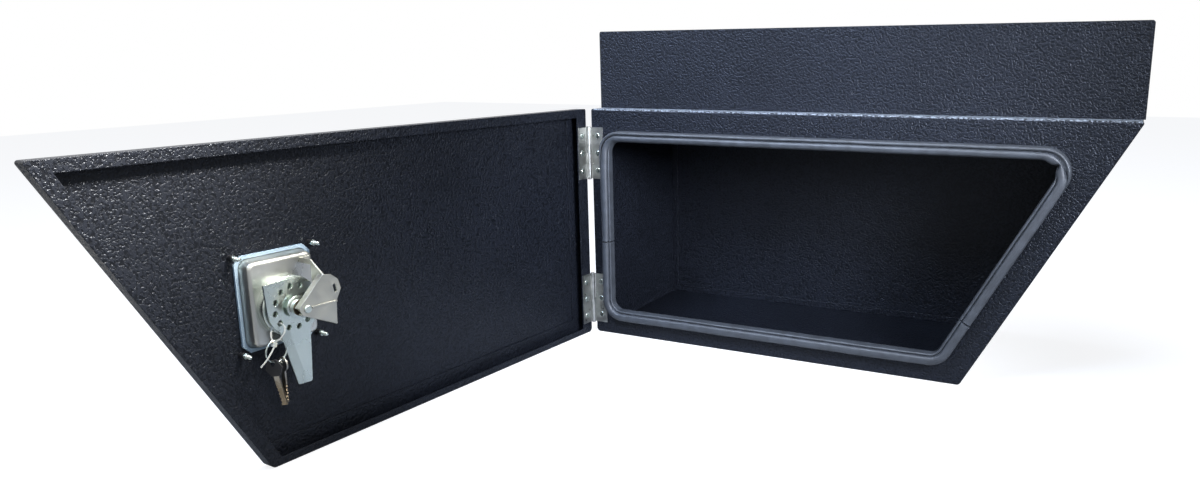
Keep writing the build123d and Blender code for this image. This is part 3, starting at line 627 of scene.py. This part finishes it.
class TOOLBOX_OT_seal(bpy.types.Operator):
    """Run the two lengths of bulb seal round the opening's lip.

    A closed profile is carried along the rounded opening, and it leaves a slot for the lip.  It blends
    by a smooth step between two sections, as the bulb leans in along the top and out elsewhere.  The
    bulb sinks in a Gaussian dent at each corner.  At the sharp one its inner edge takes two chords of
    the arc, which fold it in a V with a crease at its apex.  The whole run waves by fractions of a
    millimetre.
    """

    bl_idname = "toolbox.seal"
    bl_label = "Bulb seal"

    def execute(self, context):
        size = sizes()
        taper = (size.top_length - size.bottom_length) / size.body_height
        stretch = np.hypot(1.0, taper)

        def slanted_x(height):
            return size.bottom_length + taper * height - size.margin_slant * stretch

        low, high = size.margin_bottom, size.body_height - size.margin_top
        corners = np.array(
            [
                (size.margin_hinge, low),
                (slanted_x(low), low),
                (slanted_x(high), high),
                (size.margin_hinge, high),
            ]
        )
        line, outward, distance = rounded_line(corners, size.opening_corner, SEAL_STEP)
        inward_lean = smooth_loop(SEAL_LEANING_IN * MM, SECTION_POINTS)
        outward_lean = smooth_loop(SEAL_LEANING_OUT * MM, SECTION_POINTS)
        around = np.linspace(0, 1, len(inward_lean), endpoint=False)

        to_corner = np.linalg.norm(line[:, None] - corners, axis=-1)
        low_hinge, low_slant, high_slant, high_hinge = distance[np.argmin(to_corner, axis=0)]
        section_changes = [
            (low_hinge + 5 * MM, 0.75), (low_hinge + 40 * MM, 1.0), (low_slant, 1.0),
            (high_slant - 36 * MM, 1.0), (high_slant - 9 * MM, 0.0), (high_hinge, 0.0),
            (high_hinge + 45 * MM, 0.45),
        ]
        whole_run = distance[-1] + np.linalg.norm(line[-1] - line[0])
        leaning_out = np.interp(distance, *zip(*section_changes), period=whole_run)[:, None]
        leaning_out = smooth_step(leaning_out)
        profile = inward_lean + (outward_lean - inward_lean) * leaning_out[..., None]
        across, proud = profile[..., 0], profile[..., 1]

        apex = np.abs(distance - high_slant)[:, None]
        fall_in = bell(apex, 20 * MM)
        bulb = ramp(proud, 15 * MM, 3 * MM) * (across < 4.6 * MM)
        inner_side = ramp(-across, -2.5 * MM, 7 * MM)
        front_side = ramp(proud, 13 * MM, 6 * MM)
        inner_radius = size.opening_corner - SECTION_INSIDE
        bend = np.minimum(apex / size.opening_corner, BEND_LIMIT * HALF_CHORD)
        chord = 1 - np.cos(HALF_CHORD) / np.cos(bend - HALF_CHORD)
        shoulder = 0.75 * inner_radius * np.clip(chord, 0, 1) - 3.2 * MM * bell(apex, 6.5 * MM)
        from_corner = to_corner - to_corner.min(axis=0)
        dent = (DENTS * bell(from_corner, 9 * MM)).sum(axis=1)
        crease = 3.6 * MM * bell(apex, 2.6 * MM) * inner_side
        ripple = np.cos(apex / (2.3 * MM) * FULL_TURN / 2)
        wrinkles = 0.45 * MM * fall_in * ripple * (across > 4.0 * MM)
        sink = dent[:, None] * inner_side * front_side * 2.2 * MM + crease
        wave = 0.25 * MM * (
            np.sin(distance * 31.0)
            + 0.6 * np.sin(distance * 83.0 + 1.3)
            + 0.3 * np.sin(distance * 211.0)
        )
        settle = 0.25 * MM * (1 + np.sin(distance * 47.0 + 0.4))

        reach = across + np.where(proud > 12.5 * MM, 0.5, 0.0) * wave[:, None]
        reach = reach - 2.4 * MM * fall_in * bulb - shoulder * inner_side
        stand = proud - sink - (settle[:, None] + wrinkles) * front_side
        along = line[:, None, 0] + outward[:, None, 0] * reach
        up = line[:, None, 1] + outward[:, None, 1] * reach
        points = front_point(along, up, stand)

        hinge_seam, slant_seam = (
            np.argmin(np.hypot(line[:, 0] - seam_x, line[:, 1] - height))
            for seam_x, height in (
                (size.margin_hinge, size.seam_hinge_height),
                (slanted_x(size.seam_slant_height), size.seam_slant_height),
            )
        )
        count = len(line)
        upper_rows = (slant_seam + np.arange((hinge_seam - slant_seam) % count)) % count
        lower_rows = (hinge_seam + np.arange((slant_seam - hinge_seam) % count)) % count
        round_length = np.linalg.norm(inward_lean - np.roll(inward_lean, 1, axis=0), axis=1).sum()
        for name, rows, node in (
            ("seal_upper_length", upper_rows, "upper_seal"),
            ("seal_lower_length", lower_rows, "lower_seal"),
        ):
            run = np.arange(len(rows)) * SEAL_STEP
            uv = np.stack(np.broadcast_arrays(run[:, None], around * round_length), axis=-1)
            piece = piece_from_grid(
                name, points[rows], False, True, "box", (node,), uv
            )
            give(sharpened(piece, 50), "rubber")
        return {"FINISHED"}


# Distance between rows along the seal, and the number of points round its section.
SEAL_STEP = 2 * MM
SECTION_POINTS = 110

# How far the section reaches inside the lip, and half the angle that each chord of the fold spans.
# The bend stops at a multiple of that half, past the chord's end.
SECTION_INSIDE = 8 * MM
HALF_CHORD = np.radians(31.5)
BEND_LIMIT = 2.4

# Seal sections in mm, outward from the lip's inner face and proud of the front.  Where the bulb leans
# into the opening a ridge shows outside it, and where it leans out one shows inside it.
SEAL_LEANING_IN = np.array(
    [
        (9.9, 2.0), (9.9, 7.0), (9.8, 13.0), (9.7, 16.6), (9.2, 18.8), (8.1, 20.2), (6.8, 20.5),
        (5.5, 19.9), (4.7, 18.6), (4.3, 16.9), (3.8, 16.3), (3.4, 17.1), (3.0, 19.0), (1.9, 20.6),
        (0.1, 21.5), (-2.0, 21.4), (-4.2, 20.4), (-6.0, 18.6), (-7.0, 16.4), (-7.2, 14.9),
        (-6.7, 14.2), (-7.1, 13.9), (-7.5, 13.5), (-7.8, 13.0), (-8.0, 12.2), (-8.0, 8.0),
        (-8.0, 2.0), (-4.0, 1.9), (-0.2, 2.0), (-0.1, 7.0), (-0.1, 12.1), (1.0, 12.3), (2.1, 12.1),
        (2.1, 7.0), (2.2, 2.0), (6.0, 1.9),
    ]
)
SEAL_LEANING_OUT = np.array(
    [
        (9.9, 2.0), (9.9, 6.0), (9.8, 10.0), (9.6, 12.0), (9.2, 13.0), (8.9, 13.5), (8.7, 13.9),
        (8.7, 14.3), (8.9, 14.8), (9.3, 15.6), (9.7, 17.0), (9.4, 18.6), (8.3, 20.0), (6.3, 20.9),
        (3.6, 21.4), (1.0, 21.5), (-1.2, 21.0), (-2.6, 19.9), (-3.2, 18.2), (-3.4, 16.4),
        (-3.8, 15.6), (-4.3, 16.6), (-5.2, 17.5), (-6.6, 17.4), (-7.6, 16.2), (-8.0, 13.0),
        (-8.0, 2.0), (-4.0, 1.9), (-0.2, 2.0), (-0.1, 7.0), (-0.1, 12.1), (1.0, 12.3), (2.1, 12.1),
        (2.1, 7.0), (2.2, 2.0), (6.0, 1.9),
    ]
)

# How far the bulb sinks at each corner: low hinge, low slant, high slant and high hinge.
DENTS = np.array([0.35, 0.3, 0.8, 0.5])


class TOOLBOX_OT_fixings(bpy.types.Operator):
    """Cut the threads of the four fixing studs and chamfer their nuts.

    A stud's radius falls by a triangle wave of the height less one pitch for each turn, which is a
    screw thread.  A nut's radius is the smaller of a hexagon's and a chamfer cone's.
    """

    bl_idname = "toolbox.fixings"
    bl_label = "Studs and nuts"

    def execute(self, context):
        size = sizes()
        middles = stud_middles()
        turn = np.linspace(0, FULL_TURN, 20, endpoint=False)
        low, high = THREAD_ENDS
        rows = np.linspace(low, high, 190)[:, None]
        phase = (rows / size.thread_pitch - turn / FULL_TURN) % 1.0
        groove = (1 - np.abs(2 * phase - 1)) * THREAD_DEPTH
        ease = ramp(rows, low, 0.8 * MM)
        radius = (size.stud_radius - groove) * (0.62 + 0.38 * np.sqrt(ease))
        studs = []
        for number, (across, up) in enumerate(middles):
            points = lock_point(across + radius * np.cos(turn), up + radius * np.sin(turn), rows)
            studs.append(
                piece_from_grid(f"stud_{number}", points, False, True, "door")
            )
        give(joined("threaded_studs", studs), "bright")
        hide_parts("lock_studs")

        hex_turn = np.linspace(0, FULL_TURN, 72, endpoint=False)
        flat = size.nut_across / 2 / np.cos((hex_turn + np.pi / 6) % (np.pi / 3) - np.pi / 6)
        heights, limit = (NUT_OUTLINE * MM).T[:, :, None]
        nut_radius = np.minimum(flat, limit)
        nut_foot = outermost("stud_nuts")
        nuts = []
        for number, (across, up) in enumerate(middles):
            points = lock_point(
                across + nut_radius * np.cos(hex_turn),
                up + nut_radius * np.sin(hex_turn),
                nut_foot - heights,
            )
            nuts.append(
                piece_from_grid(f"nut_{number}", points, True, True, "door")
            )
        give(sharpened(joined("chamfered_nuts", nuts), 28), "bright")
        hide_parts("stud_nuts")
        return {"FINISHED"}


# The threads' two ends out from the spindle's point, and their depth.
THREAD_ENDS = (-2 * MM, 20 * MM)
THREAD_DEPTH = 0.42 * MM

# A nut's turned outline in mm, as height and largest radius.
NUT_OUTLINE = np.array(
    [
        (0.0, 2.55), (0.0, 3.35), (0.45, 3.72), (1.2, 4.3), (3.3, 4.3), (4.05, 3.72), (4.5, 3.35),
        (4.5, 2.9), (4.5, 2.55), (0.0, 2.55),
    ]
)


def lock_coordinates(node):
    """A CAD node's vertices given from the spindle: across, up and out."""
    mesh = NODES[node].data
    flat = np.zeros(len(mesh.vertices) * 3)
    mesh.vertices.foreach_get("co", flat)
    from_lock = flat.reshape(-1, 3) - LOCK
    return from_lock @ np.stack([LOCK_ACROSS, UP, LOCK_OUT], axis=1)


def outermost(node):
    """How far out from the spindle's point a node reaches."""
    return lock_coordinates(node)[:, 2].max()


def stud_middles():
    """Across and up of the four studs."""
    studs = lock_coordinates("lock_studs")[:, :2]
    low, high = studs.min(axis=0), studs.max(axis=0)
    radius = sizes().stud_radius
    return [
        (across, up)
        for across in (low[0] + radius, high[0] - radius)
        for up in (low[1] + radius, high[1] - radius)
    ]


class TOOLBOX_OT_key_set(bpy.types.Operator):
    """Coil the split ring, and loop and lock the nylon tie.

    The split ring is an oval section carried two turns round, with a smooth step between the levels
    of its turns.  The tie is a flat strap carried along a smooth loop through the cam's hole, with
    a ratchet tooth wave on its tail.
    """

    bl_idname = "toolbox.key_set"
    bl_label = "Split ring and tie"

    def execute(self, context):
        size = sizes()
        ring = lock_coordinates("key_ring")
        middle = (ring.min(axis=0) + ring.max(axis=0)) / 2
        wire = size.ring_wire
        turn = np.linspace(0.04, 2 * FULL_TURN - 0.04, 260)[:, None]
        section = np.linspace(0, FULL_TURN, 12, endpoint=False)
        level = (smooth_step(ramp(turn, FULL_TURN - 0.5, 1.0)) - 0.5) * wire
        radius = size.ring_radius + 0.8 * wire * np.cos(section)
        points = lock_point(
            middle[0] + radius * np.cos(turn + RING_ENDS_AT),
            middle[1] + radius * np.sin(turn + RING_ENDS_AT),
            middle[2] + level + 0.48 * wire * np.sin(section),
        )
        coil = piece_from_grid(
            "split_ring", points, False, True, "ring", ("key_ring",)
        )
        give(coil, "bright")

        line = smooth_loop(TIE_LOOP * MM, 90)
        along = unit(np.roll(line, -1, axis=0) - np.roll(line, 1, axis=0))
        strap_across = np.array([0.62, 0.5, 0.6])
        strap_across = unit(strap_across - (along @ strap_across)[:, None] * along)
        strap = strap_surface(line, along, strap_across, np.zeros(len(line)))
        loop = piece_from_grid("tie_loop", strap, True, True, "cam")
        tail_line = smooth_run(TIE_TAIL * MM, 80)
        along = unit(np.gradient(tail_line, axis=0))
        tail_across = np.array([0.65, 0.6, 0.3])
        tail_across = unit(tail_across - (along @ tail_across)[:, None] * along)
        run = np.linspace(0, 1, len(tail_line))
        teeth = 0.12 * MM * (1 - (run * 26) % 1.0) * (run > 0.12)
        tail = piece_from_grid(
            "tie_tail",
            strap_surface(tail_line, along, tail_across, teeth),
            False,
            True,
            "cam",
        )
        head_turn = np.linspace(0, FULL_TURN, 48, endpoint=False)
        square = np.abs(np.cos(head_turn)) ** 8 + np.abs(np.sin(head_turn)) ** 8
        square = TIE_HEAD_HALF / square**0.125
        head_rows = np.array([-2.6, -2.6, -2.3, 2.3, 2.6, 2.6]) * MM
        head_size = np.array([0.02, 0.86, 1.0, 1.0, 0.86, 0.02])[:, None]
        axis = unit(np.array([0.469, -0.883, 0.0]))
        side = np.array([0.883, 0.469, 0.0])
        head = (
            TIE_HEAD * MM
            + (head_size * square * np.cos(head_turn))[..., None] * side
            + (head_size * square * np.sin(head_turn))[..., None] * UP
            + head_rows[:, None, None] * axis
        )
        block = piece_from_grid(
            "tie_head",
            lock_point(head[..., 0], head[..., 1], head[..., 2]),
            False,
            True,
            "cam",
        )
        tie = joined("nylon_tie", [loop, tail, block])
        give(sharpened(tie, 40), "nylon")
        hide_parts("cable_tie")

        turn = np.linspace(0, FULL_TURN, 64, endpoint=False)
        for name, profile, coat in (
            ("spindle_collar", COLLAR, "zinc"),
            ("brass_washer", WASHER, "brass"),
        ):
            radius, level = (profile * MM).T[:, :, None]
            points = lock_point(radius * np.cos(turn), radius * np.sin(turn), level)
            collar = piece_from_grid(name, points, True, True, "cam")
            give(sharpened(collar, 35), coat)
        return {"FINISHED"}


def strap_surface(line, along, across, teeth):
    """A flat strap round a line: an oblong section with rounded edges, made thinner by the teeth."""
    turn = np.linspace(0, FULL_TURN, 24, endpoint=False)
    wide = np.sign(np.cos(turn)) * np.abs(np.cos(turn)) ** 0.35 * sizes().tie_width / 2
    thick = np.sign(np.sin(turn)) * np.abs(np.sin(turn)) ** 0.6 * sizes().tie_thickness / 2
    normal = np.cross(along, across)
    height = thick - np.where(thick > 0, 1.0, 0.0) * teeth[:, None]
    place = line[:, None] + wide[:, None] * across[:, None] + height[..., None] * normal[:, None]
    return lock_point(place[..., 0], place[..., 1], place[..., 2])


# The angle at which the split ring's wire ends, and half the width of the tie's head.
RING_ENDS_AT = 1.9
TIE_HEAD_HALF = 2.5 * MM

# The tie in mm from the spindle: its loop through the cam's hole, its head and its tail.
TIE_LOOP = np.array(
    [
        (20.5, -16.0, -16.0), (22.5, -16.8, -13.2), (27.5, -20.5, -12.6), (31.8, -26.5, -14.0),
        (33.0, -32.5, -17.0), (31.6, -36.4, -18.7), (29.3, -35.6, -20.2), (24.5, -31.0, -23.3),
        (20.3, -24.5, -24.2), (18.9, -18.8, -21.6),
    ]
)
TIE_HEAD = np.array((32.6, -39.0, -19.4))
TIE_TAIL = np.array(
    [
        (31.9, -37.4, -20.3), (34.6, -41.4, -21.4), (40.5, -48.4, -22.2), (47.0, -55.2, -22.0),
        (53.2, -60.6, -21.0),
    ]
)

# Turned sections in mm, as radius and level, round the spindle in front of the cam.
COLLAR = np.array(
    [
        (5.1, -21.6), (13.0, -21.6), (13.2, -21.9), (13.2, -22.6), (12.8, -22.9), (9.2, -23.2),
        (8.6, -23.8), (8.4, -28.6), (7.9, -29.1), (5.1, -29.1),
    ]
)
WASHER = np.array(
    [(5.1, -29.2), (9.6, -29.2), (9.9, -29.5), (9.9, -30.3), (9.6, -30.6), (5.1, -30.6)]
)


class TOOLBOX_OT_stage(bpy.types.Operator):
    """Set the pale floor, the soft lamps and the camera."""

    bl_idname = "toolbox.stage"
    bl_label = "Studio"

    def execute(self, context):
        scene = context.scene
        scene.view_settings.view_transform = "Standard"

        world = bpy.data.worlds.new("pale_studio")
        world.use_nodes = True
        scene.world = world
        tree = world.node_tree
        tree.nodes.clear()
        rays = add_node(tree, "ShaderNodeLightPath")
        shown = rays.outputs["Is Camera Ray"]
        for ray in ("Is Glossy Ray", "Is Transmission Ray"):
            shown = arithmetic(tree, "MAXIMUM", shown, rays.outputs[ray])
        fill = add_node(
            tree, "ShaderNodeBackground", Color=linear("#e4ecfa"), Strength=0.4
        ).outputs["Background"]
        white = add_node(
            tree, "ShaderNodeBackground", Color=(1.0, 1.0, 1.0, 1.0), Strength=1.0
        ).outputs["Background"]
        sky = add_node(tree, "ShaderNodeMixShader", {0: shown, 1: fill, 2: white}).outputs["Shader"]
        add_node(tree, "ShaderNodeOutputWorld", {"Surface": sky})

        floor_mesh = bpy.data.meshes.new("floor")
        reach = 6.0
        floor_mesh.from_pydata(
            [(-reach, -reach, 0), (reach, -reach, 0), (reach, reach, 0), (-reach, reach, 0)],
            [],
            [(0, 1, 2, 3)],
        )
        floor_mesh.transform(Matrix.Translation((0, 0, -0.5 * MM)))
        floor = bpy.data.objects.new("floor", floor_mesh)
        scene.collection.objects.link(floor)
        material, tree, output = new_material("pale_floor")
        rays = add_node(tree, "ShaderNodeLightPath")
        matt = add_node(
            tree, "ShaderNodeBsdfDiffuse", Color=linear("#a8a8a8")
        ).outputs["BSDF"]
        glow = add_node(
            tree,
            "ShaderNodeEmission",
            {"Strength": rays.outputs["Is Camera Ray"]},
            Color=linear("#e6e6e6"),
        ).outputs["Emission"]
        both = add_node(tree, "ShaderNodeAddShader", {0: matt, 1: glow}).outputs["Shader"]
        tree.links.new(both, output.inputs["Surface"])
        floor.data.materials.append(material)

        for name, place, aim, width, height, power, spread, colour in LAMPS:
            lamp_data = bpy.data.lights.new(name, "AREA")
            lamp_data.shape = "RECTANGLE"
            lamp_data.size = width
            lamp_data.size_y = height
            lamp_data.energy = power
            lamp_data.spread = np.radians(spread)
            lamp_data.color = linear(colour)[:3]
            lamp = bpy.data.objects.new(name, lamp_data)
            back = unit(np.array(place) - np.array(aim))
            side = unit(np.cross(UP, back))
            turned = np.stack([side, np.cross(back, side), back], axis=1)
            lamp.matrix_world = Matrix.Translation(place) @ Matrix(turned.tolist()).to_4x4()
            scene.collection.objects.link(lamp)

        camera_data = bpy.data.cameras.new("camera")
        camera_data.sensor_width = 36.0
        camera_data.lens = 26.54
        camera_data.shift_x = -0.063
        camera_data.clip_start = 0.05
        camera = bpy.data.objects.new("camera", camera_data)
        yaw = Matrix.Rotation(np.radians(26.637), 3, "Z")
        pitch = Matrix.Rotation(np.radians(-12.15), 3, "X")
        roll = Matrix.Rotation(np.radians(0.512), 3, "Y")
        look = yaw @ pitch @ roll @ Matrix.Rotation(np.radians(90), 3, "X")
        camera.matrix_world = Matrix.Translation((0.502, -1.467, 0.4936)) @ look.to_4x4()
        scene.collection.objects.link(camera)
        scene.camera = camera
        return {"FINISHED"}


# Name, place, aim, width, height, watts, spread in degrees and colour of each lamp.
LAMPS = [
    ("overhead_softbox", (-0.3, -0.5, 2.4), (-0.1, -0.3, 0.3), 2.4, 1.4, 48.0, 180, "#e6f0ff"),
    ("near_softbox", (-0.4, -1.3, 1.35), (-0.3, -0.15, 0.44), 0.7, 0.5, 8.8, 70, "#ccdeff"),
    ("door_softbox", (0.35, -0.6, 1.1), (-0.5, -1.04, 0.4), 0.3, 0.3, 6.5, 42, "#fffaf2"),
    ("front_softbox", (-0.6, -3.0, 1.9), (-0.1, -0.3, 0.3), 1.4, 1.0, 5.0, 180, "#e6eeff"),
    ("inside_softbox", (0.85, -0.78, 0.6), (-0.28, 0.0, 0.2), 0.3, 0.3, 5.5, 60, "#e6eeff"),
]


class TOOLBOX_PT_panel(bpy.types.Panel):
    """The toolbox's operators and settings."""

    bl_idname = "TOOLBOX_PT_panel"
    bl_label = "Under-tray toolbox"
    bl_space_type = "VIEW_3D"
    bl_region_type = "UI"
    bl_category = "Toolbox"

    def draw(self, context):
        column = self.layout.column()
        for operator in OPERATORS:
            column.operator(operator.bl_idname)
        for group in (context.scene.toolbox_sizes, context.scene.toolbox_colours):
            for setting in group.bl_rna.properties:
                if setting.identifier not in ("rna_type", "name"):
                    column.prop(group, setting.identifier)


OPERATORS = (
    TOOLBOX_OT_coat,
    TOOLBOX_OT_seal,
    TOOLBOX_OT_fixings,
    TOOLBOX_OT_key_set,
    TOOLBOX_OT_stage,
)
CLASSES = (ToolboxSizes, ToolboxColours, *OPERATORS, TOOLBOX_PT_panel)


def register():
    """Register the classes and their settings."""
    for item in CLASSES:
        bpy.utils.register_class(item)
    bpy.types.Scene.toolbox_sizes = bpy.props.PointerProperty(type=ToolboxSizes)
    bpy.types.Scene.toolbox_colours = bpy.props.PointerProperty(type=ToolboxColours)


def unregister():
    """Remove the classes and their settings."""
    del bpy.types.Scene.toolbox_colours
    del bpy.types.Scene.toolbox_sizes
    for item in reversed(CLASSES):
        bpy.utils.unregister_class(item)


def main():
    """Make every piece."""
    register()
    for operator in (
        bpy.ops.toolbox.coat,
        bpy.ops.toolbox.seal,
        bpy.ops.toolbox.fixings,
        bpy.ops.toolbox.key_set,
        bpy.ops.toolbox.stage,
    ):
        operator()


if __name__ == "__main__":
    main()
